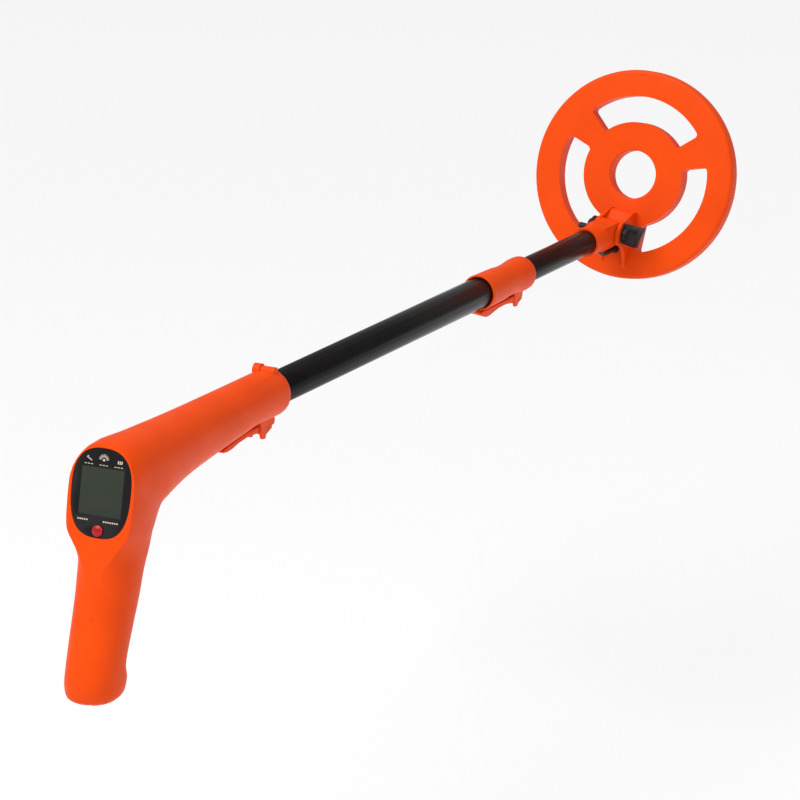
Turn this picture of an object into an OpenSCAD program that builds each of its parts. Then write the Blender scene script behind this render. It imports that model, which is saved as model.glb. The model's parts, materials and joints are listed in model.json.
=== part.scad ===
// Light metal detector: pistol-grip handle with a display, two telescoping
// shaft tubes held by cam-lever clamps, and a ring search coil on a tilting yoke.
// Millimetres. +Y runs forward along the shaft, +X is the user's right, +Z is up.
// The origin is the centre of the hand's hold on the grip.

/* [Shaft] */
// Height of the shaft's axis above the hand hold
shaft_z = 90; // [88:0.5:92]
// Outer diameter of the upper tube
upper_d = 22; // [21.8:0.05:22]
// Outer diameter of the lower tube
lower_d = 18.5; // [18:0.1:18.6]
// Wall of both tubes
tube_wall = 1; // [0.8:0.1:1.2]
// Turn of the clamped shaft about its own axis, seen against the handle
shaft_twist = 7; // [0:1:15]

/* [Handle] */
// Thickness of the handle shells
wall = 2.2; // [1.8:0.1:2.4]
// Lean of the display face away from upright
panel_lean = 10; // [8:1:12]
// Backward rake of the battery inside the grip
bay_rake = 12; // [12:0.5:13]

/* [Coil] */
// Outer diameter of the search coil
coil_d = 160; // [150:1:170]
// Thickness of the search coil
coil_t = 12.5; // [12:0.5:14]
// Diameter of the hole in the middle of the coil
coil_hole_d = 36.8; // [34:0.2:38]
// Tilt of the coil away from being parallel to the shaft
coil_tilt = 78; // [0:1:100]

/* [Hidden] */
$fn = 64;

orange = [0.93, 0.29, 0.06];
black = [0.05, 0.045, 0.045];
steel = [0.7, 0.7, 0.72];

run = 0.05;             // radial clearance of a running fit
upper_r = upper_d / 2;
lower_r = lower_d / 2;

// Stations along the shaft
mouth_y = 212;          // front end of the handle
bore_y = 180;           // where the handle's tube bore begins
upper_y = 150;          // inner end of the upper tube
collar_y = 533;         // rear end of the collar
collar_step_y = 566;    // front end of the upper tube inside the collar
collar_end_y = 609;     // front end of the collar
lower_y = 506;          // inner end of the lower tube
yoke_y = 727;           // rear end of the yoke
lower_end_y = 748;      // front end of the lower tube inside the yoke
hinge_y = 775;          // axis of the tilting coil

// Display face: its middle and its outline's half sizes
panel_y = -5;
panel_z = 80;
panel_half_w = 20.2;
panel_top = 23.5;
panel_low = 30.4;
fascia_sink = 0.4;
fascia_t = 1.4;
face_wall = 3.8;        // depth of the shells' wall behind the display face
lcd = 28.8;             // side of the square display window
lcd_v = -2.7;           // height of the window's middle on the face
button_v = -26;
button_r = 3.5;

// Battery bay and the hatch in the butt
bay_y = -12.4;
bay_z = -47;
battery_w = 26.5;
battery_d = 17.5;
battery_h = 48.5;
battery_low = 5.5;
butt_y = -12;
butt_z = -48.6;
butt_slope = 1.4;
door_w = 27.4;
door_front = 9.6;
door_hinge = -12.6;     // hinge axis of the hatch, behind the butt's middle
door_hinge_h = 1.6;
door_t = 4.2;
door_step = 2.3;        // the shells' edge beside the barrel, ahead of the hinge axis
door_relief = 3.15;     // the plate's edge beside the barrel, clear of that edge's sweep
knuckle = 6;            // half length of the hatch's hinge barrel
pin_half = 8.6;
gap = 0.2;

// Handle surface. Each row is one cross-section of the L-shaped handle, from the
// shaft end round the bend to the butt: the outer (top, then back) point's y and z,
// the inner (bottom, then front) point's y and z, the half width, where the widest
// line lies between them, and how square the section is.
HANDLE = [
    [212, 104.7, 212, 75.3, 14.7, 0.5, 2],
    [211, 105.5, 211, 74.5, 15.5, 0.5, 2],
    [208, 105.8, 208, 74.2, 15.8, 0.5, 2],
    [176, 105.8, 176, 74.2, 15.8, 0.5, 2],
    [142, 105.6, 143, 70.5, 16.3, 0.53, 2],
    [106, 105.5, 111, 66.8, 17.4, 0.55, 2],
    [68, 105.6, 84, 63.4, 19.3, 0.56, 2],
    [33, 105.9, 65, 60.4, 21.5, 0.54, 2.1],
    [0, 105.9, 55.5, 58.8, 22.2, 0.5, 2.3],
    [-24, 93, 51.5, 56.8, 22.4, 0.66, 2.4],
    [-29.4, 75, 48, 53, 22.2, 0.72, 2.4],
    [-27.4, 58, 44, 48, 21.6, 0.7, 2.35],
    [-19, 45, 39.8, 42.6, 19.4, 0.58, 2.3],
    [-15, 35, 35.4, 36, 18.2, 0.5, 2.35],
    [-15.2, 25, 28.8, 25.5, 18, 0.5, 2.4],
    [-16.8, 13.5, 22.8, 10, 17.9, 0.5, 2.4],
    [-20, 0, 14.8, -7.6, 17.6, 0.5, 2.4],
    [-24.2, -14, 9.4, -21.4, 17.2, 0.5, 2.4],
    [-28.2, -27.5, 7.4, -30, 17, 0.5, 2.4],
    [-30.4, -37, 9.4, -36.6, 17.2, 0.5, 2.4],
    [-30.9, -43, 9.2, -41.6, 16.8, 0.5, 2.3],
    [-30.2, -46.8, 8, -45.4, 15.8, 0.5, 2.2],
    [-26.8, -49.1, 4.4, -48.3, 13.4, 0.5, 2.2]];

// Points that the free leads and the coil's cable follow, as [x, y, z]
LEAD_HANDLE = [[0, 11.45, 89.6], [0, 18, 89.8], [0, 30, 90], [0, 90, 90], [0, 150, 90],
    [0, 196, 90]];
BATTERY_LEADS = [[0, -0.4, 12.2], [0, 0.6, 17], [0, 1.8, 24], [0, 4.6, 36], [0, 6, 48],
    [0, 5.8, 57], [0, 4.6, 61.2], [0, 2.7, 62.4]];
SPEAKER_LEADS = [[-14, 34.3, 82], [-13.4, 30, 80], [-12, 22, 78.5], [-10.5, 12, 78],
    [-10, 5.2, 78.2]];
LEAD_LOWER = [[0, 499, 0], [0, 740, 0], [0, 756, 0], [0, 759.5, -0.8], [0, 761, -2.4],
    [0, 761, -9.2]];
COIL_CABLE = [[0, 761, -9.32], [0, 761, -11], [0, 762, -13.4], [0, 764.5, -15.5],
    [0, 768.5, -16.9], [0, 773, -17.4], [0, 778, -17.3], [0, 784, -16.9], [0, 788, -17.2],
    [0, 791.7, -17.9]];

// ---------- points and surfaces ----------

// Catmull-Rom blend of rows a, b, c, d at t between b and c
function blend_row(a, b, c, d, t) =
    0.5 * (2 * b + (c - a) * t + (2 * a - 5 * b + 4 * c - d) * t * t
        + (3 * b - a - 3 * c + d) * t * t * t);

// Rows of a table with steps - 1 blended rows between each pair
function blend_rows(rows, steps) = concat(
    [for (i = [0 : len(rows) - 2], k = [0 : steps - 1])
        let (a = rows[max(i - 1, 0)], d = rows[min(i + 2, len(rows) - 1)])
            blend_row(a, rows[i], rows[i + 1], d, k / steps)],
    [rows[len(rows) - 1]]);

function signed_pow(v, p) = sign(v) * pow(abs(v), p);

// One cross-section of the handle, shrunk by an inset, from angle a0 in count steps
function section(row, inset, a0, step, count) =
    let (outer = [row[0], row[1]], inner = [row[2], row[3]],
         span = outer - inner, dir = span / norm(span),
         top = outer - inset * dir, low = inner + inset * dir,
         mid = inner + row[5] * span, power = 2 / row[6])
    [for (k = [0 : count - 1])
        let (c = signed_pow(cos(a0 + k * step), power), s = signed_pow(sin(a0 + k * step), power),
             p = mid + (c > 0 ? (top - mid) * c : (mid - low) * c))
            [(row[4] - inset) * s, p[0], p[1]]];

// Closed solid through rings of n points each
module loft(rings) {
    n = len(rings[0]);
    last = len(rings) - 1;
    points = [for (r = rings) each r];
    sides = [for (i = [0 : last - 1], k = [0 : n - 1])
        let (a = i * n + k, b = i * n + (k + 1) % n, c = b + n, d = a + n)
            each [[a, b, c], [a, c, d]]];
    near = [for (k = [n - 1 : -1 : 0]) k];
    far = [for (k = [0 : n - 1]) last * n + k];
    polyhedron(points, concat(sides, [near, far]));
}

// Round rod along a list of points; its rings keep X as one of their axes
module rod_along(points, r, sides = 8) {
    last = len(points) - 1;
    loft([for (i = [0 : last])
        let (ahead = points[min(i + 1, last)] - points[max(i - 1, 0)], t = ahead / norm(ahead),
             side = cross(t, [0, t[2], -t[1]]), u = side / norm(side), v = cross(u, t))
            [for (k = [0 : sides - 1])
                points[i] + r * (u * cos(360 * k / sides) + v * sin(360 * k / sides))]]);
}

// ---------- frames ----------

// Frame of the display face: X across, Y up the face, Z outward
module on_panel() {
    translate([0, panel_y, panel_z]) rotate([90 - panel_lean, 0, 0]) children();
}

// Frame of the battery bay: origin at its foot, Z up along the battery
module in_bay() {
    translate([0, bay_y, bay_z]) rotate([-bay_rake, 0, 0]) children();
}

// Frame of the butt's end face: Z into the grip
module in_butt() {
    translate([0, butt_y, butt_z]) rotate([butt_slope, 0, 0]) children();
}

// Frame of the clamped shaft: Y along the axis, turned with the tubes
module on_shaft() {
    translate([0, 0, shaft_z]) rotate([0, shaft_twist, 0]) children();
}

// Frame of the coil at its hinge: Z out of the coil's top face
module on_coil() {
    translate([0, hinge_y, 0]) rotate([coil_tilt, 0, 0]) children();
}

// Cylinder along +Y from y0 to y1 about the shaft's axis, in the shaft's frame
module along_y(y0, y1, r) {
    translate([0, y0, 0]) rotate([-90, 0, 0]) cylinder(h = y1 - y0, r = r);
}

// Tube along +Y
module tube_y(y0, y1, r, bore) {
    difference() {
        along_y(y0, y1, r);
        along_y(y0 - 1, y1 + 1, bore);
    }
}

// Cylinder along X from x0 to x1
module along_x(x0, x1, r) {
    translate([x0, 0, 0]) rotate([0, 90, 0]) cylinder(h = x1 - x0, r = r);
}

// Flat outline in the YZ plane, extruded along X from x0 to x1
module plate_x(x0, x1, outline) {
    translate([x0, 0, 0]) rotate([90, 0, 90]) linear_extrude(x1 - x0) polygon(outline);
}

// ---------- handle shells ----------

// Outline of the display face, grown by g
function egg(g) = [for (k = [0 : 59])
    let (c = cos(6 * k), s = sin(6 * k), power = s > 0 ? 2 / 2.5 : 2 / 2.8)
        [(panel_half_w + g) * signed_pow(c, power),
            ((s > 0 ? panel_top : panel_low) + g) * signed_pow(s, power)]];

// Screws that hold the shells together: y, z and the reach of each screw's posts
SCREWS = [[60, 72.6, 15.8], [16, 62, 19.4], [11, 24, 15.5]];
screw_r = 1.4;
post_r = 4.4;
screw_head_r = 2.9;
screw_head_x = -10.5;

// Screws that hold the main board: x and height of each pair, on the display face
BOARD_SCREWS = [[9.5, -22], [8, 16]];
board_screw_r = 1.1;

// Middle and radius of the speaker, on the left shell
speaker_y = 40;
speaker_z = 84;
speaker_r = 7.5;

// Top and bottom bosses at the front end, where a screw clamps the shells round the tube
boss_y = 206;
top_boss_z = 105;
low_boss_z = 73;

// Lever clamp under the front end: profile of the two ears, relative to the shaft's axis
EARS = [[189, -13], [190.5, -22], [192.5, -26.3], [195.8, -26.5], [197, -23.9], [204.6, -21.3],
    [204.7, -13]];
lever_y = 199;
lever_z = -20.2;
lever_pin_r = 1.5;
ear_in = 3.5;
ear_out = 5.6;

// Half of the handle's outer body on the +X side
module half_outer() {
    front = [for (i = [0 : 2]) HANDLE[i]];
    rest = [for (i = [3 : len(HANDLE) - 1]) HANDLE[i]];
    difference() {
        loft([for (row = concat(front, blend_rows(rest, 3)))
            let (s = section(row, 0, 0, 180 / 14, 15))
                concat([s[0] - [2, 0, 0]], s, [s[14] - [2, 0, 0]])]);
        translate([-10, -100, -100]) cube([10, 400, 300]);
    }
}

// The hollow inside, stopped short of the tube bore and of the butt
module hollow() {
    rows = blend_rows([for (i = [3 : 19]) HANDLE[i]], 2);
    difference() {
        loft([for (row = rows) section(row, wall, 9, 18, 20)]);
        on_panel() translate([-60, -80, -face_wall]) cube([120, 160, 60]);
    }
}

// One shell before it is mirrored or pierced: side 1 is the right, -1 the left
module shell(side) {
    difference() {
        union() {
            mirror([side < 0 ? 1 : 0, 0, 0]) {
                difference() {
                    half_outer();
                    on_panel() translate([-60, -80, 0]) cube([120, 160, 60]);
                    hollow();
                    translate([0, 0, shaft_z]) along_y(bore_y - 8, mouth_y + 1, upper_r + run);
                }
                translate([0, 0, shaft_z]) plate_x(ear_in, ear_out, EARS);
                screw_posts();
            }
            top_boss(side);
            low_boss(side);
        }
        in_bay() translate([-battery_w / 2 - gap, -battery_d / 2 - gap, -4])
            cube([battery_w + 2 * gap, battery_d + 2 * gap, battery_h + 14]);
        for (p = BOARD_SCREWS, x = [-p[0], p[0]]) on_panel() translate([x, p[1], -9])
            cylinder(h = 4.4, r = board_screw_r + 0.02);
        on_panel() translate([0, 0, -fascia_sink - fascia_t]) linear_extrude(8) polygon(egg(0.1));
        on_panel() translate([-lcd / 2 - 1.6, lcd_v - lcd / 2 - 1.6, -12])
            cube([lcd + 3.2, lcd + 3.2, 12]);
        on_panel() translate([0, button_v, -12]) cylinder(h = 12, r = button_r + 0.3);
        translate([0, 0, shaft_z]) along_y(bore_y - 8, mouth_y + 1, upper_r + run);
        translate([0, lever_y, shaft_z + lever_z]) along_x(-9, 9, lever_pin_r + 0.02);
        translate([-ear_in + 0.1, lever_y - 3.4, shaft_z - 20])
            cube([2 * ear_in - 0.2, 6.8, 16]);
        for (s = SCREWS) translate([0, s[0], s[1]]) screw_hole(side);
        for (z = [top_boss_z, low_boss_z]) translate([0, boss_y, z]) boss_hole(side);
        in_butt() door_space();
    }
}

// Posts across the hollow for the shell screws, and posts for the main board
module screw_posts() {
    for (s = SCREWS) translate([0, s[0], s[1]]) along_x(0, s[2], post_r);
    for (p = BOARD_SCREWS) on_panel() translate([p[0], p[1], -8.5]) cylinder(h = 5, r = 2);
}

module screw_hole(side) {
    if (side > 0) along_x(-1, 11, screw_r);
    else {
        along_x(-12, 1, screw_r + 0.15);
        along_x(-30, screw_head_x, screw_head_r + 0.3);
    }
}

module top_boss(side) {
    translate([0, boss_y, top_boss_z])
        if (side > 0) along_x(0, 7, 3.1);
        else {
            along_x(-3, 0, 3.1);
            along_x(-8, -3, 4.3);
        }
}

module low_boss(side) {
    translate([0, boss_y, low_boss_z])
        if (side > 0) along_x(0, 5.5, 2.7);
        else along_x(-5.5, 0, 2.7);
}

module boss_hole(side) {
    if (side > 0) along_x(-1, 5, 1);
    else {
        along_x(-20, 1, 1.1);
        along_x(-20, -4, 2);
    }
}

// Room for the battery hatch, its barrel and its pin
module door_space() {
    translate([-knuckle - gap, door_hinge, -6]) cube([2 * (knuckle + gap), 8, 14]);
    translate([-door_w / 2 - gap, door_hinge + door_step, -6])
        cube([door_w + 2 * gap, door_front - door_hinge - door_step + gap, 14]);
    translate([0, door_hinge, door_hinge_h]) along_x(-knuckle - gap, knuckle + gap, 1.8);
    translate([-knuckle - gap, door_hinge - 2.2, -6])
        cube([2 * (knuckle + gap), 4, 6 + door_hinge_h]);
    translate([0, door_hinge, door_hinge_h]) along_x(-pin_half - 0.1, pin_half + 0.1, 0.62);
}

module shell_right() {
    color(orange) shell(1);
}

module shell_left() {
    color(orange) difference() {
        union() {
            shell(-1);
            // seat round the speaker
            translate([0, speaker_y, speaker_z]) along_x(-19.4, -15.5, speaker_r + 1.2);
        }
        translate([0, speaker_y, speaker_z]) along_x(-18.2, -10, speaker_r + 0.02);
        // sound holes over the speaker
        translate([-30, speaker_y, speaker_z]) {
            for (a = [0 : 60 : 300]) translate([0, 4 * cos(a), 4 * sin(a)]) along_x(0, 13, 0.8);
            along_x(0, 13, 0.8);
        }
    }
}

module shell_screws() {
    color(steel) {
        for (s = SCREWS) translate([0, s[0], s[1]]) {
            along_x(screw_head_x - 2, screw_head_x, screw_head_r);
            along_x(screw_head_x, 9, screw_r - 0.02);
        }
        for (z = [top_boss_z, low_boss_z]) translate([0, boss_y, z]) {
            along_x(-5.4, -4, 1.9);
            along_x(-4, 4.6, 0.98);
        }
    }
}

// ---------- display face ----------

module fascia() {
    color(black) on_panel() difference() {
        translate([0, 0, -fascia_sink - fascia_t]) linear_extrude(fascia_t) polygon(egg(0));
        translate([-lcd / 2, lcd_v - lcd / 2, -5]) cube([lcd, lcd, 8]);
        translate([0, button_v, -5]) cylinder(h = 8, r = button_r + 0.1);
    }
}

// Raised plain marks: a fan gauge, a lever and a cell above the window, short bars below it
module fascia_marks() {
    color([0.9, 0.88, 0.8]) on_panel() translate([0, 0, -fascia_sink]) {
        translate([0, 16.4, 0]) cylinder(h = 0.15, r = 0.8);
        for (a = [10 : 20 : 170]) translate([0, 16.4, 0]) rotate([0, 0, a])
            translate([1.7, -0.22, 0]) cube([1.8, 0.44, 0.15]);
        translate([-9.4, 16.1, 0]) rotate([0, 0, -28]) {
            translate([-2.4, -0.3, 0]) cube([4, 0.6, 0.15]);
            translate([-2.4, 0.5, 0]) cube([1.1, 0.5, 0.15]);
        }
        for (x = [9.4, 10.6, 11.8]) translate([x, 15.2, 0]) cube([0.8, 1.9, 0.15]);
        for (x = [-12, -9.9, -7.8, -1.9, 0.2, 2.3, 8.2, 10.3, 12.4])
            translate([x - 0.8, 13, 0]) cube([1.5, 0.45, 0.15]);
        for (x = [-14.4, -12.9, -11.4, -9.9, -8.4, 3, 4.5, 6, 7.5, 9, 10.5, 12])
            translate([x, -20.6, 0]) cube([1, 0.9, 0.15]);
    }
}

module display() {
    color([0.2, 0.22, 0.19]) on_panel() {
        side = lcd - 0.2;
        translate([-side / 2, lcd_v - side / 2, -1.9]) cube([side, side, 1.4]);
        back = lcd + 2.4;
        translate([-back / 2, lcd_v - back / 2, -4]) cube([back, back, 2.1]);
    }
}

module display_light() {
    color("whitesmoke") on_panel() translate([-lcd / 2 - 1, lcd_v - lcd / 2 - 1, -6.2])
        cube([lcd + 2, lcd + 2, 2.1]);
}

board_z = -10.2;        // back face of the main board, on the panel frame
board_t = 1.6;

module board_outline() {
    polygon([for (k = [0 : 35])
        let (c = cos(10 * k), s = sin(10 * k))
            [17.6 * signed_pow(c, 0.8), (s > 0 ? 19 : 27.5) * signed_pow(s, 0.8)]]);
}

module main_board() {
    color("darkgreen") on_panel() difference() {
        translate([0, 0, board_z]) linear_extrude(board_t) board_outline();
        for (p = BOARD_SCREWS, x = [-p[0], p[0]]) translate([x, p[1], board_z - 1])
            cylinder(h = 4, r = 1.3);
    }
}

module board_parts() {
    color([0.15, 0.15, 0.16]) on_panel() translate([0, 0, board_z]) {
        translate([-6, -6, -2]) cube([12, 12, 2]);
        translate([-13, 6, -1.5]) cube([8, 5, 1.5]);
        translate([8, 4, -3]) cylinder(h = 3, r = 2.5);
        translate([8, 10, -3]) cylinder(h = 3, r = 2);
        translate([-12, -13, -2.5]) cube([7, 5, 2.5]);
        translate([7, -12, -1.8]) cube([4, 8, 1.8]);
        translate([-3, 9, -4]) cube([6, 6, 4]);
    }
}

module button_switch() {
    color([0.2, 0.2, 0.2]) on_panel() {
        translate([-3, button_v - 3, board_z + board_t]) cube([6, 5.8, 1.3]);
        translate([0, button_v, board_z + board_t + 1.3]) cylinder(h = 0.3, r = 1.6);
    }
}

module board_screws() {
    color(steel) on_panel() for (p = BOARD_SCREWS, x = [-p[0], p[0]])
        translate([x, p[1], board_z]) {
            translate([0, 0, -1.4]) cylinder(h = 1.4, r = 2.2);
            cylinder(h = 5.4, r = board_screw_r);
        }
}

// Push cap with a domed head; its flange stays behind the shells' wall
module power_button() {
    color([0.75, 0.04, 0.08]) on_panel() translate([0, button_v, 0]) {
        translate([0, 0, -3.7]) cylinder(h = 4.2, r = button_r);
        intersection() {
            translate([0, 0, 0.5]) cylinder(h = 2, r = button_r);
            translate([0, 0, -4.4]) sphere(r = 6);
        }
        translate([0, 0, -5]) cylinder(h = 1, r = button_r + 0.9);
        translate([0, 0, -6.1]) cylinder(h = 1.2, r = 1.8);
    }
}

module speaker() {
    color([0.25, 0.25, 0.27]) translate([0, speaker_y, speaker_z]) {
        along_x(-18.2, -14.8, speaker_r);
        along_x(-14.8, -12.6, 5);
    }
}

module speaker_leads() {
    color("darkred") rod_along(SPEAKER_LEADS, 0.7);
}

// ---------- battery bay ----------

module battery() {
    color([0.2, 0.2, 0.55]) in_bay() translate([0, 0, battery_low]) {
        linear_extrude(battery_h) difference() {
            square([battery_w, battery_d], center = true);
            for (x = [-1, 1], y = [-1, 1]) translate([x * battery_w / 2, y * battery_d / 2])
                difference() {
                    square(2 * 3, center = true);
                    translate([-3 * x, -3 * y]) circle(3);
                }
        }
        for (x = [-6.3, 6.3]) translate([x, 0, battery_h]) cylinder(h = 1.6, r = 2.8);
    }
}

module battery_snap() {
    color(black) in_bay() translate([0, 0, battery_low + battery_h + 1.7]) {
        translate([-12, -4.5, 0]) cube([24, 9, 2.6]);
        translate([-3, -3, 2.6]) cube([6, 6, 2]);
    }
}

module battery_leads() {
    color("red") for (x = [-0.8, 0.8]) translate([x, 0, 0]) rod_along(BATTERY_LEADS, 0.6);
}

// Hatch in the butt: plate cut from the butt's own surface, with a hinge barrel
module battery_door() {
    color(orange) difference() {
        union() {
            intersection() {
                union() {
                    half_outer();
                    mirror([1, 0, 0]) half_outer();
                }
                in_butt() translate([-door_w / 2, door_hinge, -6])
                    cube([door_w, door_front - door_hinge - 0.1, 6 + door_t]);
            }
            in_butt() translate([0, door_hinge, door_hinge_h]) along_x(-knuckle, knuckle, 1.5);
        }
        for (side = [0, 1]) mirror([side, 0, 0]) in_butt()
            translate([knuckle, door_hinge - 3, -7]) cube([9, 3 + door_relief, 14]);
        in_butt() translate([0, door_hinge, door_hinge_h]) along_x(-30, 30, 0.65);
    }
}

module door_pin() {
    color(steel) in_butt() translate([0, door_hinge, door_hinge_h]) along_x(-pin_half, pin_half, 0.6);
}

// ---------- lever clamps ----------

// Cam lever between two ears: round cam on the pin, then a tail under the tube
module cam_lever(pin_y, pin_z, cam_r, lift, half_w, tail_y, tail) {
    difference() {
        union() {
            translate([0, pin_y, pin_z + lift]) along_x(-half_w, half_w, cam_r);
            intersection() {
                plate_x(-half_w, half_w, tail);
                translate([-20, tail_y, -60]) cube([40, 80, 60]);
            }
            intersection() {
                plate_x(-half_w - 2, half_w + 2, tail);
                translate([-20, tail_y - 80, -60]) cube([40, 80, 60]);
            }
        }
        translate([0, pin_y, pin_z]) along_x(-20, 20, lever_pin_r + run);
    }
}

HANDLE_TAIL = [[199, -20], [195, -17.2], [187, -16.8], [172, -16.9], [160, -18.3], [150, -19.7],
    [141, -21], [139, -22], [140, -23], [145, -23.4], [152, -22.9], [160, -21.2], [172, -20.2],
    [186, -20.8], [192, -23.2], [196.5, -23.8]];

module handle_lever() {
    color(orange) translate([0, 0, shaft_z])
        cam_lever(lever_y, lever_z, 4, 0.4, 3.3, 186.5, HANDLE_TAIL);
}

module handle_lever_pin() {
    color(steel) translate([0, lever_y, shaft_z + lever_z]) along_x(-ear_out, ear_out, lever_pin_r);
}

// Block that the cam presses against the tube
module brake_pad(y, top_r, low_z, half_w, half_l) {
    difference() {
        translate([-half_w, y - half_l, low_z]) cube([2 * half_w, 2 * half_l, -low_z]);
        along_y(y - 20, y + 20, top_r);
    }
}

module handle_brake_pad() {
    color([0.15, 0.15, 0.15]) translate([0, 0, shaft_z])
        brake_pad(lever_y, upper_r + 0.12, lever_z + 4.55, 3.2, 3.2);
}

// ---------- tubes and collar ----------

module upper_tube() {
    color(black) on_shaft() tube_y(upper_y, collar_step_y, upper_r, upper_r - tube_wall);
}

// Ring on the inner end of the upper tube; it meets the bore's shoulder at full reach
module tube_stop_ring() {
    color([0.3, 0.3, 0.3]) on_shaft() tube_y(upper_y, upper_y + 6, upper_r + 1.2, upper_r + 0.01);
}

collar_pin_y = 599.6;
collar_pin_z = -16.4;
COLLAR_EARS = [[590.5, -10], [592.5, -18], [594.3, -21.8], [598, -22], [599.2, -20],
    [604.7, -17.6], [604.8, -10]];
COLLAR_TAIL = [[599.6, -16], [596, -13.7], [588, -13.1], [566, -13.1], [548, -13.3],
    [539, -13.4], [534.5, -13.5], [534, -15], [537, -17.2], [543, -18.8], [549, -18.9],
    [556, -17.6], [564, -16.4], [576, -16.2], [588, -17.6], [593, -19.6], [597, -20]];

// Clamp collar: wide ends, a slight waist, a step inside for the two tube sizes
module collar() {
    color(orange) on_shaft() difference() {
        union() {
            rotate([-90, 0, 0]) rotate_extrude() polygon([[0, collar_y], [12.5, collar_y],
                [12.9, collar_y + 1.5], [12.7, collar_y + 8], [12.3, 565], [11.7, 572],
                [11.5, 580], [11.8, 588], [12.5, 596], [12.7, 603], [12.5, 606.5],
                [11.8, 608.4], [11, collar_end_y], [0, collar_end_y]]);
            for (side = [0, 1]) mirror([side, 0, 0]) plate_x(3.2, 5, COLLAR_EARS);
        }
        along_y(collar_y - 1, collar_step_y + 0.1, upper_r + 0.01);
        rotate([-90, 0, 0]) translate([0, 0, collar_y - 0.01])
            cylinder(h = 2, r1 = 11.6, r2 = upper_r);
        along_y(collar_y, collar_end_y + 1, lower_r + run);
        translate([0, collar_pin_y, collar_pin_z]) along_x(-9, 9, lever_pin_r + 0.02);
        translate([-2.9, collar_pin_y - 3, -18]) cube([5.8, 6, 16]);
    }
}

module collar_lever() {
    color(orange) on_shaft()
        cam_lever(collar_pin_y, collar_pin_z, 3.4, 0.4, 2.9, 589.5, COLLAR_TAIL);
}

module collar_lever_pin() {
    color(steel) on_shaft() translate([0, collar_pin_y, collar_pin_z])
        along_x(-5, 5, lever_pin_r);
}

module collar_brake_pad() {
    color([0.15, 0.15, 0.15]) on_shaft()
        brake_pad(collar_pin_y, lower_r + 0.12, collar_pin_z + 3.95, 2.8, 2.8);
}

module lower_tube() {
    color(black) on_shaft() tube_y(lower_y, lower_end_y, lower_r, lower_r - tube_wall);
}

// Plug on the inner end of the lower tube that runs in the upper tube
module tube_guide() {
    color([0.85, 0.85, 0.82]) on_shaft() difference() {
        union() {
            along_y(lower_y - 7, lower_y - 0.1, upper_r - tube_wall - run);
            along_y(lower_y - 0.2, lower_y + 14, lower_r - tube_wall - 0.02);
        }
        along_y(lower_y - 8, lower_y + 15, 3);
    }
}

// ---------- leads ----------

module lead_handle() {
    color(black) rod_along(LEAD_HANDLE, 1.6);
}

// Curly stretch of the lead, as the plain rod that its turns fill
module lead_curl() {
    color(black) on_shaft() along_y(197, 498, 4.5);
}

module lead_lower() {
    color(black) on_shaft() rod_along(LEAD_LOWER, 1.6);
}

module coil_cable() {
    color(black) on_shaft() rod_along(COIL_CABLE, 2.1);
}

// ---------- yoke and pivot ----------

tongue_half = 7.8;
ear_t = 2.6;
ear_x = 8.2;
pivot_r = 3;

// Socket for the lower tube, drawn down to a tongue on the coil's hinge
module yoke() {
    color(orange) on_shaft() difference() {
        union() {
            along_y(yoke_y, 756, 10.8);
            plate_x(-tongue_half, tongue_half,
                [[745, -9.6], [745, 9.6], [764, 9.3], [hinge_y, 8.8], [hinge_y, -8.8], [764, -9.3]]);
            translate([0, hinge_y, 0]) along_x(-tongue_half, tongue_half, 8.8);
        }
        along_y(yoke_y - 1, lower_end_y + 0.2, lower_r + 0.01);
        translate([0, hinge_y, 0]) along_x(-20, 20, pivot_r + run);
        // way for the cable, from the socket out through the underside
        along_y(740, 764, 2.6);
        translate([0, 761, -12]) cylinder(h = 12, r = 2.6);
    }
}

module yoke_gland() {
    color(black) on_shaft() translate([0, 761, -9.3]) difference() {
        cylinder(h = 3.4, r = 2.59);
        translate([0, 0, -1]) cylinder(h = 6, r = 1.7);
    }
}

module pivot_bolt() {
    color(black) on_shaft() translate([0, hinge_y, 0]) along_x(-17.5, 15.5, pivot_r);
}

knob_x = 11.4;
knob_t = 6.4;
knob_lean = 14;
KNOB = [[0, -5.5], [1, -7], [11.5, -8], [12.6, -7.4], [16, 6.6], [15.6, 7.8], [14.6, 8.3],
    [1.5, 8.4], [0, 7]];

// Thumb head of the pivot bolt: a flat wing with a sunk square on both faces
module bolt_knob() {
    color(black) on_shaft() translate([knob_x, hinge_y, 0]) rotate([-knob_lean, 0, 0])
        difference() {
            union() {
                translate([0, knob_t / 2, 0]) rotate([90, 0, 0]) linear_extrude(knob_t)
                    polygon(KNOB);
                along_x(0, 3.4, 5);
            }
            for (side = [-1, 1]) translate([4.6, side * 3.4 - 1.2, -4]) cube([6.6, 2.4, 8]);
            along_x(-1, 4.1, pivot_r + 0.01);
        }
}

// Wing nut: round hub and two wings set in a shallow V
module wing_nut() {
    color(black) on_shaft() translate([0, hinge_y, 0]) difference() {
        union() {
            along_x(-17, -11.4, 6);
            for (a = [12, 168]) rotate([a, 0, 0]) plate_x(-19.6, -13,
                [[3, -1.6], [13, -2.2], [16, -1.6], [16.6, 0], [16, 1.6], [13, 2.2], [3, 1.6]]);
        }
        along_x(-30, 0, pivot_r + run);
    }
}

module friction_washers() {
    color([0.12, 0.12, 0.12]) on_shaft() translate([0, hinge_y, 0])
        for (side = [0, 1]) mirror([side, 0, 0]) difference() {
            along_x(tongue_half + 0.02, ear_x - 0.02, 7);
            along_x(0, 20, pivot_r + 0.1);
        }
}

// ---------- search coil ----------

coil_r = coil_d / 2;
coil_hole_r = coil_hole_d / 2;
coil_face = -21.5;      // top face of the coil, below the hinge
coil_mid = 44.9;        // centre of the coil, ahead of the hinge
cover_t = 2;
spoke_half = 12;        // half angle of the two far spokes
near_spoke = 16.5;      // half width of the spoke under the hinge
window_in = 40;
window_out = 60;

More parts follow.
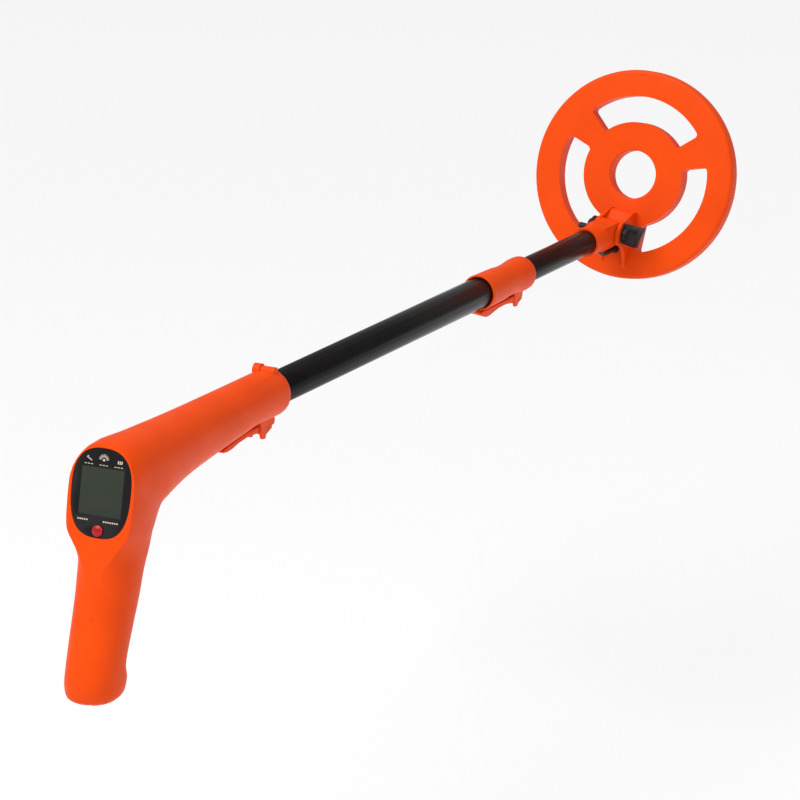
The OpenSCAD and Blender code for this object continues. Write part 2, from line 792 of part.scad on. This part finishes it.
// The three open windows of the coil, as a flat shape
module windows() {
    difference() {
        circle(window_out);
        circle(window_in);
        for (a = [30, 150]) polygon([[0, 0], 100 * [cos(a - spoke_half), sin(a - spoke_half)],
            100 * [cos(a + spoke_half), sin(a + spoke_half)]]);
        translate([-near_spoke, -100]) square([2 * near_spoke, 100]);
    }
}

// Ring body about the coil's middle from an edge profile of [radius, height] points
module ring(profile) {
    difference() {
        rotate_extrude($fn = 128) polygon(profile);
        translate([0, 0, -50]) linear_extrude(100) windows();
    }
}

module in_ring() {
    on_coil() translate([0, coil_mid, coil_face]) children();
}

cover_top = -coil_t + cover_t;
EAR = [[-27, coil_face - 0.5], [-22, coil_face + 2.2], [-16, coil_face + 7],
    [-11.5, coil_face + 13.5], [-9.4, -2], [0, 0], [8, 4], [11.4, -3.6], [16.6, -13.6],
    [17.6, coil_face - 0.5]];

module coil_top_shell() {
    color(orange) on_shaft() difference() {
        union() {
            in_ring() difference() {
                ring([[coil_hole_r, cover_top], [coil_hole_r, -1.2], [coil_hole_r + 0.4, -0.4],
                    [coil_hole_r + 1.2, 0], [coil_r - 3, 0], [coil_r - 1.5, -0.4],
                    [coil_r - 0.4, -1.5], [coil_r, -3], [coil_r, cover_top]]);
                translate([0, 0, cover_top - 1]) difference() {
                    cylinder(h = 8, r = 76);
                    translate([0, 0, -1]) cylinder(h = 10, r = 65);
                }
                translate([0, 0, cover_top - 1]) difference() {
                    cylinder(h = 8, r = 35);
                    translate([0, 0, -1]) cylinder(h = 10, r = 23);
                }
            }
            for (side = [0, 1]) mirror([side, 0, 0]) on_coil() {
                plate_x(ear_x, ear_x + ear_t, EAR);
                along_x(ear_x, ear_x + ear_t, 9.4);
            }
            on_coil() plate_x(-ear_x - 1, ear_x + 1, [[9.6, coil_face - 0.5],
                [9.6, -9], [8.4, -7.6], [15.8, -14], [16.8, coil_face - 0.5]]);
        }
        on_coil() along_x(-20, 20, pivot_r + 0.1);
        on_coil() translate([0, -14, coil_face - 6]) cylinder(h = 12, r = 3);
    }
}

module coil_bottom_cover() {
    color(orange) on_shaft() in_ring() ring([[coil_hole_r, -coil_t], [coil_r - 1, -coil_t],
        [coil_r, -coil_t + 1], [coil_r, cover_top - 0.02], [coil_hole_r, cover_top - 0.02]]);
}

module winding(r0, r1) {
    in_ring() translate([0, 0, cover_top + 0.1]) difference() {
        cylinder(h = 5, r = r1, $fn = 96);
        translate([0, 0, -1]) cylinder(h = 7, r = r0, $fn = 96);
    }
}

module transmit_winding() {
    color([0.72, 0.4, 0.2]) on_shaft() winding(67, 74);
}

module receive_winding() {
    color([0.72, 0.4, 0.2]) on_shaft() winding(25, 33);
}

module cable_gland() {
    color(black) on_shaft() on_coil() translate([0, -14, coil_face - 4]) difference() {
        cylinder(h = 5.4, r = 2.99);
        translate([0, 0, 2]) cylinder(h = 6, r = 1.7);
    }
}

shell_right();
shell_left();
shell_screws();
fascia();
fascia_marks();
display();
display_light();
main_board();
board_parts();
button_switch();
board_screws();
speaker();
battery();
battery_snap();
battery_leads();
speaker_leads();
power_button();
battery_door();
door_pin();
handle_lever();
handle_lever_pin();
handle_brake_pad();
upper_tube();
tube_stop_ring();
collar();
collar_lever();
collar_lever_pin();
collar_brake_pad();
lower_tube();
tube_guide();
lead_handle();
lead_curl();
lead_lower();
yoke();
yoke_gland();
pivot_bolt();
bolt_knob();
wing_nut();
friction_washers();
coil_cable();
coil_top_shell();
coil_bottom_cover();
transmit_winding();
receive_winding();
cable_gland();
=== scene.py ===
"""Looks of a light metal detector: pistol-grip display handle, two telescoping
shaft tubes with cam-lever clamps, and a ring search coil on a tilting yoke."""
import json
import math

import bmesh
import bpy
from mathutils import Matrix, Vector


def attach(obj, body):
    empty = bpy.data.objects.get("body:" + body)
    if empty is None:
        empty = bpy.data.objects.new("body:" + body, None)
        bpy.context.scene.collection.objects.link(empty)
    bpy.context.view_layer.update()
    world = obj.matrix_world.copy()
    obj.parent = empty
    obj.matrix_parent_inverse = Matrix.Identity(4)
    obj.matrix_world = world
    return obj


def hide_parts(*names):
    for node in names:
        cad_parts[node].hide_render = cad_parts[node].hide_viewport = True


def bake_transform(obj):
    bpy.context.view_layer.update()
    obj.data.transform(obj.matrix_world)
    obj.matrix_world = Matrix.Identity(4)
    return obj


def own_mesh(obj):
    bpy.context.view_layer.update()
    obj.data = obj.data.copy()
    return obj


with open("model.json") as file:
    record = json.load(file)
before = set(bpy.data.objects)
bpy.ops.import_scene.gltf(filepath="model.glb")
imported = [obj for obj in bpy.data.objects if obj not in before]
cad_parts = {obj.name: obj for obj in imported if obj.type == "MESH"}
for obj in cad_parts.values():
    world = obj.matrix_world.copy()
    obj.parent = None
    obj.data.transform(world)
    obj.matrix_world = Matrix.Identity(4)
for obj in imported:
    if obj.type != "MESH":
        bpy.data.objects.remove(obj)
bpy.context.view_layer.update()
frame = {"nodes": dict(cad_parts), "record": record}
nodes = frame["nodes"]
MM = 0.001

# ---------- frames of the object, in metres ----------

SHAFT_HEIGHT = 90 * MM
SHAFT_TWIST = math.radians(7)
HINGE_Y = 775 * MM
COIL_TILT = math.radians(78)
PANEL_LEAN = math.radians(10)


def frame_at(place, angle=0.0, axis="X"):
    return Matrix.Translation(place) @ Matrix.Rotation(angle, 4, axis)


# the clamped shaft, the coil at its hinge, the middle of the coil's ring, the display face
SHAFT = frame_at((0, 0, SHAFT_HEIGHT), SHAFT_TWIST, "Y")
COIL = SHAFT @ frame_at((0, HINGE_Y, 0), COIL_TILT)
RING = COIL @ frame_at((0, 44.9 * MM, -21.5 * MM))
PANEL = frame_at((0, -5 * MM, 80 * MM), math.radians(90) - PANEL_LEAN)

# ---------- materials ----------


def graph(name):
    """A new material with its node tree and its Principled shader."""
    made = bpy.data.materials.new(name)
    made.use_nodes = True
    tree = made.node_tree
    return made, tree, tree.nodes["Principled BSDF"]


def coordinates(tree, scale, stretch=(1, 1, 1)):
    """Object coordinates through a Mapping node, for a pattern of that scale."""
    place = tree.nodes.new("ShaderNodeTexCoord")
    mapping = tree.nodes.new("ShaderNodeMapping")
    mapping.inputs["Scale"].default_value = [scale * s for s in stretch]
    tree.links.new(place.outputs["Object"], mapping.inputs["Vector"])
    return mapping.outputs["Vector"]


def noise(tree, scale, detail=3.0, stretch=(1, 1, 1)):
    texture = tree.nodes.new("ShaderNodeTexNoise")
    texture.inputs["Scale"].default_value = 1.0
    texture.inputs["Detail"].default_value = detail
    tree.links.new(coordinates(tree, scale, stretch), texture.inputs["Vector"])
    return texture.outputs["Fac"]


def between(tree, factor, low, high, source=(0.3, 0.7)):
    """The factor's source range mapped to low..high."""
    ranged = tree.nodes.new("ShaderNodeMapRange")
    ranged.inputs["From Min"].default_value = source[0]
    ranged.inputs["From Max"].default_value = source[1]
    ranged.inputs["To Min"].default_value = low
    ranged.inputs["To Max"].default_value = high
    tree.links.new(factor, ranged.inputs["Value"])
    return ranged.outputs["Result"]


def blend_colours(tree, factor, first, second):
    mix = tree.nodes.new("ShaderNodeMix")
    mix.data_type = "RGBA"
    mix.inputs["A"].default_value = (*first, 1)
    mix.inputs["B"].default_value = (*second, 1)
    tree.links.new(factor, mix.inputs["Factor"])
    return mix.outputs["Result"]


def add_bump(tree, shader, height, strength, distance):
    bump = tree.nodes.new("ShaderNodeBump")
    bump.inputs["Strength"].default_value = strength
    bump.inputs["Distance"].default_value = distance
    tree.links.new(height, bump.inputs["Height"])
    tree.links.new(bump.outputs["Normal"], shader.inputs["Normal"])


def plastic(name, colour, mottled, rough, grain=2600, grain_height=0.00002, coat=0.0,
            specular=0.45):
    """Moulded plastic: faint colour drift, satin patches and a fine spark-eroded grain."""
    made, tree, shader = graph(name)
    drift = between(tree, noise(tree, 38), 0, 1)
    tree.links.new(blend_colours(tree, drift, colour, mottled), shader.inputs["Base Color"])
    patches = noise(tree, 120, 5)
    tree.links.new(between(tree, patches, *rough), shader.inputs["Roughness"])
    add_bump(tree, shader, noise(tree, grain, 2), 0.35, grain_height)
    shader.inputs["Specular IOR Level"].default_value = specular
    shader.inputs["Coat Weight"].default_value = coat
    return made


def painted_tube(name):
    """Satin black coating with fine draw lines along the tube and faint rub marks."""
    made, tree, shader = graph(name)
    lines = noise(tree, 1500, 3, (1, 0.01, 1))
    rubs = noise(tree, 60, 6, (1, 0.25, 1))
    tree.links.new(blend_colours(tree, between(tree, rubs, 0, 1, (0.45, 0.75)),
                                 (0.006, 0.005, 0.005), (0.012, 0.010, 0.0095)),
                   shader.inputs["Base Color"])
    tree.links.new(between(tree, rubs, 0.17, 0.27), shader.inputs["Roughness"])
    add_bump(tree, shader, lines, 0.12, 0.00001)
    shader.inputs["Specular IOR Level"].default_value = 0.05
    return made


def metal(name, colour, rough):
    made, tree, shader = graph(name)
    lines = noise(tree, 900, 2, (0.05, 1, 1))
    tree.links.new(blend_colours(tree, lines, colour, [c * 0.8 for c in colour]),
                   shader.inputs["Base Color"])
    tree.links.new(between(tree, lines, *rough), shader.inputs["Roughness"])
    add_bump(tree, shader, lines, 0.15, 0.00001)
    shader.inputs["Metallic"].default_value = 1.0
    return made


def rubber(name):
    made, tree, shader = graph(name)
    dust = noise(tree, 240, 5)
    tree.links.new(blend_colours(tree, between(tree, dust, 0, 1, (0.5, 0.8)),
                                 (0.012, 0.011, 0.011), (0.03, 0.028, 0.027)),
                   shader.inputs["Base Color"])
    tree.links.new(between(tree, dust, 0.45, 0.62), shader.inputs["Roughness"])
    add_bump(tree, shader, noise(tree, 1800, 2), 0.3, 0.00003)
    return made


def screen(name):
    """Unlit liquid-crystal window: grey-green glass with a faint uneven wash."""
    made, tree, shader = graph(name)
    wash = between(tree, noise(tree, 26, 1), 0, 1)
    tree.links.new(blend_colours(tree, wash, (0.024, 0.031, 0.023), (0.034, 0.043, 0.032)),
                   shader.inputs["Base Color"])
    tree.links.new(between(tree, noise(tree, 300, 4), 0.16, 0.24), shader.inputs["Roughness"])
    add_bump(tree, shader, noise(tree, 3000, 1), 0.05, 0.000005)
    shader.inputs["Specular IOR Level"].default_value = 0.3
    return made


ORANGE = plastic("orange_shell_plastic", (0.86, 0.072, 0.0022), (0.80, 0.064, 0.002),
                 (0.38, 0.48), specular=0.11)
BLACK_GLOSS = plastic("black_face_gloss", (0.008, 0.007, 0.008), (0.012, 0.011, 0.012),
                      (0.14, 0.22), 1500, 0.000004, specular=0.25)
PRINT = plastic("cream_print", (0.62, 0.56, 0.42), (0.55, 0.50, 0.38), (0.4, 0.55))
LCD = screen("grey_lcd_glass")
WHITE = plastic("white_nylon", (0.72, 0.71, 0.67), (0.66, 0.65, 0.61), (0.35, 0.5))
BOARD = plastic("green_board_lacquer", (0.006, 0.075, 0.022), (0.01, 0.1, 0.03), (0.25, 0.4))
CHIP = plastic("black_component", (0.014, 0.014, 0.016), (0.022, 0.022, 0.024), (0.4, 0.6))
STEEL = metal("zinc_plated_steel", (0.62, 0.61, 0.58), (0.22, 0.38))
CAN = plastic("battery_foil", (0.02, 0.03, 0.12), (0.03, 0.04, 0.15), (0.25, 0.35))
BLACK = plastic("black_knob_plastic", (0.011, 0.0095, 0.010), (0.016, 0.014, 0.015),
                (0.26, 0.4), 2200, 0.00002, specular=0.2)
LEAD = plastic("red_lead_sleeve", (0.35, 0.012, 0.01), (0.28, 0.01, 0.008), (0.4, 0.5))
RED = plastic("red_button_plastic", (0.42, 0.008, 0.014), (0.36, 0.006, 0.011),
              (0.18, 0.26), 1500, 0.000004, specular=0.3)
RUBBER = rubber("black_rubber")
TUBE = painted_tube("satin_black_tube")
COPPER = metal("enamelled_copper", (0.62, 0.26, 0.1), (0.3, 0.45))

FINISH = {"orange_plastic": ORANGE, "black_gloss": BLACK_GLOSS, "print_cream": PRINT, "lcd": LCD,
          "white_plastic": WHITE, "board_green": BOARD, "chip_black": CHIP, "steel": STEEL,
          "battery_can": CAN, "black_plastic": BLACK, "lead_red": LEAD, "button_red": RED,
          "rubber_black": RUBBER, "tube_black": TUBE, "cable_black": RUBBER, "copper": COPPER}
SLOT = {s["node"]: s["material_slot"] for s in frame["record"]["subparts"]}
BODY = {n: b for b, members in frame["record"]["behaviour"]["bodies"].items() for n in members}

for name, node in nodes.items():
    node.data.materials.clear()
    node.data.materials.append(FINISH[SLOT[name]])

# ---------- making pieces ----------


def place_piece(mesh_builder, name, slot, body):
    """Turns a finished bmesh into an object that rides on a body."""
    mesh = bpy.data.meshes.new(name)
    mesh_builder.to_mesh(mesh)
    mesh_builder.free()
    made = bpy.data.objects.new(name, mesh)
    bpy.context.scene.collection.objects.link(made)
    made.data.materials.append(FINISH[slot])
    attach(made, body)
    return made


def soften(piece, width, segments=3, angle=38):
    """Rounds the piece's edges with a live bevel and evens its shading."""
    bevel = piece.modifiers.new("rounded_edges", "BEVEL")
    bevel.width = width
    bevel.segments = segments
    bevel.limit_method = "ANGLE"
    bevel.angle_limit = math.radians(angle)
    bevel.harden_normals = True
    bevel.use_clamp_overlap = True
    return piece


def merged_copy(node):
    """A bmesh of a CAD node with its loose triangles joined and flat areas made whole."""
    work = bmesh.new()
    work.from_mesh(nodes[node].data)
    for layer in list(work.loops.layers.uv):
        work.loops.layers.uv.remove(layer)
    bmesh.ops.remove_doubles(work, verts=work.verts, dist=0.002 * MM)
    bmesh.ops.dissolve_limit(work, angle_limit=math.radians(0.4), verts=work.verts,
                             edges=work.edges)
    for face in work.faces:
        face.smooth = True
    return work


def dress(node, width, segments=3, angle=38):
    """A smooth-edged copy of a CAD node that stands for it."""
    piece = place_piece(merged_copy(node), node + "_looks", SLOT[node], BODY[node])
    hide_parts(node)
    return soften(piece, width * MM, segments, angle)


# Visible nodes and the radius that their edges are rounded to, in millimetres
ROUNDED = {"shell_screws": 0.3, "handle_lever": 0.9, "handle_lever_pin": 0.2, "collar": 0.45,
           "collar_lever": 0.8, "collar_lever_pin": 0.2, "upper_tube": 0.25, "lower_tube": 0.25,
           "yoke": 0.9, "yoke_gland": 0.3, "pivot_bolt": 0.4, "wing_nut": 0.9, "bolt_knob": 0.9,
           "friction_washers": 0.1, "cable_gland": 0.4, "power_button": 0.25,
           "battery_door": 0.35, "fascia": 0.2, "handle_brake_pad": 0.2, "collar_brake_pad": 0.2,
           "battery": 0.5, "battery_snap": 0.4, "speaker": 0.3, "tube_guide": 0.3,
          "fascia_marks": 0.05}
for node, radius in ROUNDED.items():
    dress(node, radius)

# ---------- leads in the shaft ----------

# Each lead, the slide that closes it up, its fixed end along the shaft, and what stays of it
CLOSING_LEADS = (("lead_curl", "lower_tube_slide", 197 * MM, 0.62),
                 ("lead_handle", "upper_tube_slide", 11.5 * MM, 0.38))
for node, joint, anchor, keep in CLOSING_LEADS:
    lead = place_piece(merged_copy(node), node + "_looks", SLOT[node], BODY[node])
    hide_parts(node)
    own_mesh(lead)

# ---------- handle shells ----------

RIM = 0.9 * MM
SHELL_EDGE = 0.5 * MM
IN_PLANE = 0.05 * MM
SEAM_HALF = 0.2 * MM
TO_PANEL = PANEL.inverted()
TURN_TO_PANEL = TO_PANEL.to_3x3()


def is_rim(edge):
    """Whether an edge lies between the display plane and the head's outer side."""
    if len(edge.link_faces) != 2:
        return False
    turned = [TURN_TO_PANEL @ face.normal for face in edge.link_faces]
    middle = TO_PANEL @ ((edge.verts[0].co + edge.verts[1].co) / 2)
    flat = [normal.z > 0.999 for normal in turned]
    if abs(middle.z) > IN_PLANE or abs(middle.x) < SEAM_HALF or flat[0] == flat[1]:
        return False
    side = turned[0] if flat[1] else turned[1]
    return side.x * middle.x + side.y * middle.y > 0


def shell_piece(node):
    """A handle shell with a wide round on the rim of the display plane."""
    work = merged_copy(node)
    work.normal_update()
    weight = work.edges.layers.float.new("bevel_weight_edge")
    for edge in work.edges:
        edge[weight] = 1.0 if is_rim(edge) else 0.0
    piece = place_piece(work, node + "_looks", SLOT[node], BODY[node])
    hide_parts(node)
    wide = piece.modifiers.new("rim_round", "BEVEL")
    wide.width = RIM
    wide.segments = 4
    wide.limit_method = "WEIGHT"
    wide.use_clamp_overlap = True
    return soften(piece, SHELL_EDGE, 3, 34)


for node in ("shell_right", "shell_left"):
    shell_piece(node)

# ---------- search coil ----------

COIL_RADIUS = 80 * MM
HOLE_RADIUS = 18.4 * MM
COVER_TOP = -10.5 * MM
SOLE = -12.5 * MM
MOULDING_GAP = 0.15 * MM
RIM_ROUND = 3 * MM
HOLE_ROUND = 1.2 * MM
WINDOW_IN = 40 * MM
WINDOW_OUT = 60 * MM
WINDOW_LOW = -30 * MM
WINDOW_HIGH = 20 * MM
CORNER = 3.2 * MM
WELD = 0.001 * MM


def spun(profile, steps):
    """Closed solid spun about Z from a closed outline of (radius, height) points."""
    work = bmesh.new()
    ring = [work.verts.new((r, 0, z)) for r, z in profile]
    edges = [work.edges.new((ring[i], ring[(i + 1) % len(ring)])) for i in range(len(ring))]
    bmesh.ops.spin(work, geom=ring + edges, cent=(0, 0, 0), axis=(0, 0, 1),
                   angle=2 * math.pi, steps=steps, use_merge=True, use_duplicate=False)
    bmesh.ops.remove_doubles(work, verts=work.verts, dist=WELD)
    bmesh.ops.recalc_face_normals(work, faces=work.faces)
    return work


def arc(centre, radius, start, end, count):
    """Points of an arc, angles in degrees."""
    return [(centre[0] + radius * math.cos(math.radians(start + (end - start) * k / count)),
             centre[1] + radius * math.sin(math.radians(start + (end - start) * k / count)))
            for k in range(count + 1)]


def window_cutter(start, end, trim=None):
    """Block that cuts one window, from angle start to end, with rounded corners."""
    work = bmesh.new()
    corners = [work.verts.new((r, 0, z)) for r, z in
               ((WINDOW_IN, WINDOW_LOW), (WINDOW_OUT, WINDOW_LOW), (WINDOW_OUT, WINDOW_HIGH),
                (WINDOW_IN, WINDOW_HIGH))]
    face = work.faces.new(corners)
    bmesh.ops.spin(work, geom=[face] + list(face.edges) + corners, cent=(0, 0, 0),
                   axis=(0, 0, 1), angle=math.radians(end - start), steps=40,
                   use_merge=False, use_duplicate=False)
    bmesh.ops.rotate(work, verts=work.verts, cent=(0, 0, 0),
                     matrix=Matrix.Rotation(math.radians(start), 3, "Z"))
    if trim is not None:
        bmesh.ops.bisect_plane(work, geom=work.verts[:] + work.edges[:] + work.faces[:],
                               plane_co=(trim, 0, 0),
                               plane_no=(-math.copysign(1, trim), 0, 0),
                               clear_outer=True, dist=WELD)
        bmesh.ops.holes_fill(work, edges=[e for e in work.edges if e.is_boundary], sides=0)
    bmesh.ops.remove_doubles(work, verts=work.verts, dist=10 * WELD)
    bmesh.ops.recalc_face_normals(work, faces=work.faces)
    upright = [e for e in work.edges
               if abs((e.verts[0].co - e.verts[1].co).z) > 0.8 * (WINDOW_HIGH - WINDOW_LOW)
               and e.is_manifold and e.calc_face_angle(0) > math.radians(50)]
    bmesh.ops.bevel(work, geom=upright, offset=CORNER, offset_type="OFFSET", segments=6,
                    profile=0.5, affect="EDGES", material=-1, clamp_overlap=False)
    return work


def cut_from(target, cutters):
    """Applies the cutters to the target object's mesh and removes them."""
    for cutter in cutters:
        mesh = bpy.data.meshes.new("cutter")
        cutter.to_mesh(mesh)
        cutter.free()
        tool = bpy.data.objects.new("cutter", mesh)
        bpy.context.scene.collection.objects.link(tool)
        cut = target.modifiers.new("window", "BOOLEAN")
        cut.operation = "DIFFERENCE"
        cut.solver = "EXACT"
        cut.object = tool
        bpy.context.view_layer.update()
        whole = target.evaluated_get(bpy.context.evaluated_depsgraph_get())
        result = bpy.data.meshes.new_from_object(whole)
        target.modifiers.clear()
        target.data = result
        bpy.data.objects.remove(tool)
    return target


NEAR_SPOKE = 16.5 * MM


def coil_cutters():
    return [window_cutter(42, 138), window_cutter(-110, 18, NEAR_SPOKE),
            window_cutter(162, 290, -NEAR_SPOKE)]


def coil_plate(profile, name, node, width):
    """One of the coil's two mouldings: a spun ring with the three windows cut out."""
    work = spun(profile, 160)
    mesh = bpy.data.meshes.new(name)
    work.to_mesh(mesh)
    work.free()
    plate = bpy.data.objects.new(name, mesh)
    bpy.context.scene.collection.objects.link(plate)
    cut_from(plate, coil_cutters())
    merged = bmesh.new()
    merged.from_mesh(plate.data)
    bmesh.ops.remove_doubles(merged, verts=merged.verts, dist=0.004 * MM)
    bmesh.ops.transform(merged, matrix=RING, verts=merged.verts)
    for face in merged.faces:
        face.smooth = True
    bpy.data.objects.remove(plate)
    piece = place_piece(merged, name, SLOT[node], BODY[node])
    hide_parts(node)
    return soften(piece, width, 4, 40)


top_profile = ([(HOLE_RADIUS, COVER_TOP)]
               + [(COIL_RADIUS, COVER_TOP)]
               + arc((COIL_RADIUS - RIM_ROUND, -RIM_ROUND), RIM_ROUND, 0, 90, 7)
               + arc((HOLE_RADIUS + HOLE_ROUND, -HOLE_ROUND), HOLE_ROUND, 90, 180, 5))
coil_plate(top_profile, "coil_top_moulding", "coil_top_shell", 1.3 * MM)
sole_profile = [(HOLE_RADIUS, SOLE), (COIL_RADIUS - 1 * MM, SOLE), (COIL_RADIUS, SOLE + 1 * MM),
                (COIL_RADIUS, COVER_TOP - MOULDING_GAP), (HOLE_RADIUS, COVER_TOP - MOULDING_GAP)]
coil_plate(sole_profile, "coil_sole", "coil_bottom_cover", 0.5 * MM)

# ---------- clevis on the coil: what stands over the coil's face near its hinge ----------

CLEVIS_FOOT = -0.5 * MM
CLEVIS_HALF_WIDTH = 12.5 * MM
CLEVIS_NEAR = -20 * MM
CLEVIS_FAR = 76 * MM


def in_clevis(place):
    """Whether a point of the ring's frame lies in the clevis."""
    return (place.y <= CLEVIS_NEAR and place.length <= CLEVIS_FAR
            and abs(place.x) <= CLEVIS_HALF_WIDTH)


clevis = merged_copy("coil_top_shell")
face_height = RING @ Vector((0, 0, CLEVIS_FOOT))
face_normal = (RING.to_3x3() @ Vector((0, 0, 1))).normalized()
bmesh.ops.bisect_plane(clevis, geom=clevis.verts[:] + clevis.edges[:] + clevis.faces[:],
                       plane_co=face_height, plane_no=face_normal, clear_inner=True, dist=WELD)
stray = [v for v in clevis.verts if not in_clevis(RING.inverted() @ v.co)]
bmesh.ops.delete(clevis, geom=stray, context="VERTS")
soften(place_piece(clevis, "coil_clevis", "orange_plastic", "coil"), 0.9 * MM, 3, 38)

# ---------- short cable from the yoke to the coil ----------

CABLE = [(761, -9.2), (761, -11), (762, -13.4), (764.5, -15.5), (768.5, -16.9), (773, -17.4),
         (778, -17.3), (784, -16.9), (788, -17.2), (791.7, -17.9)]
CABLE_RADIUS = 2.1 * MM
line = bpy.data.curves.new("coil_cable_line", "CURVE")
line.dimensions = "3D"
spline = line.splines.new("NURBS")
spline.points.add(len(CABLE) - 1)
for point, (y, z) in zip(spline.points, CABLE):
    point.co = (*(SHAFT @ Vector((0, y * MM, z * MM))), 1)
spline.use_endpoint_u = True
spline.order_u = 3
spline.resolution_u = 6
line.bevel_depth = CABLE_RADIUS
line.bevel_resolution = 4
line.use_fill_caps = True
cable_curve = bpy.data.objects.new("coil_cable_curve", line)
bpy.context.scene.collection.objects.link(cable_curve)
bpy.context.view_layer.update()
cable_mesh = bpy.data.meshes.new_from_object(
    cable_curve.evaluated_get(bpy.context.evaluated_depsgraph_get()))
bpy.data.objects.remove(cable_curve)
cable = bpy.data.objects.new("coil_lead", cable_mesh)
bpy.context.scene.collection.objects.link(cable)
cable.data.materials.clear()
cable.data.materials.append(RUBBER)
for polygon in cable.data.polygons:
    polygon.use_smooth = True
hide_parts("coil_cable")
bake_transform(cable)

# ---------- stage ----------

FLOOR_HEIGHT = -0.28
FLOOR_HALF = 12
WORLD_STRENGTH = 0.36
SUN_STRENGTH = 2.25
CAMERA_PLACE = (1.1262, -1.9890, 0.7355)

floor_work = bmesh.new()
bmesh.ops.create_grid(floor_work, x_segments=1, y_segments=1, size=FLOOR_HALF)
floor_mesh = bpy.data.meshes.new("floor")
floor_work.to_mesh(floor_mesh)
floor_work.free()
floor = bpy.data.objects.new("floor", floor_mesh)
floor.location = (0, 0, FLOOR_HEIGHT)
bpy.context.scene.collection.objects.link(floor)
floor_paint, floor_tree, floor_shader = graph("pale_floor")
floor_shader.inputs["Base Color"].default_value = (0.93, 0.93, 0.93, 1)
floor_shader.inputs["Roughness"].default_value = 0.9
floor.data.materials.append(floor_paint)

world = bpy.data.worlds.new("studio")
bpy.context.scene.world = world
world.use_nodes = True
world.node_tree.nodes["Background"].inputs["Color"].default_value = (1, 1, 1, 1)
world.node_tree.nodes["Background"].inputs["Strength"].default_value = WORLD_STRENGTH


def softbox(name, location, target, size, power):
    lamp = bpy.data.lights.new(name, "AREA")
    lamp.shape = "RECTANGLE"
    lamp.size, lamp.size_y = size
    lamp.energy = power
    holder = bpy.data.objects.new(name, lamp)
    holder.location = location
    aim = Vector(target) - Vector(location)
    holder.rotation_mode = "QUATERNION"
    holder.rotation_quaternion = aim.to_track_quat("-Z", "Y")
    bpy.context.scene.collection.objects.link(holder)


softbox("key_light", (-0.5, -1.2, 1.5), (0, 0.35, 0.08), (0.9, 0.9), 9)
softbox("fill_light", (1.9, -0.7, 0.8), (0, 0.4, 0.08), (1.4, 1.4), 4)

sky = bpy.data.lights.new("broad_light", "SUN")
sky.energy = SUN_STRENGTH
sky.angle = math.radians(70)
sky_holder = bpy.data.objects.new("broad_light", sky)
sky_holder.rotation_euler = (math.radians(24), math.radians(-14), 0)
bpy.context.scene.collection.objects.link(sky_holder)

lens = bpy.data.cameras.new("view")
lens.lens = 180
lens.sensor_width = 36
lens.clip_start = 0.05
lens.clip_end = 60
camera = bpy.data.objects.new("view", lens)
right = Vector((0.90206543, 0.43092673, 0.02408546))
up = Vector((-0.13054555, 0.21923076, 0.96690006))
back = Vector((0.41138281, -0.87535137, 0.25401606))
turn = Matrix((right, up, back)).transposed().to_4x4()
camera.matrix_world = Matrix.Translation(CAMERA_PLACE) @ turn
bpy.context.scene.collection.objects.link(camera)
bpy.context.scene.camera = camera

bpy.context.scene.view_settings.view_transform = "Standard"
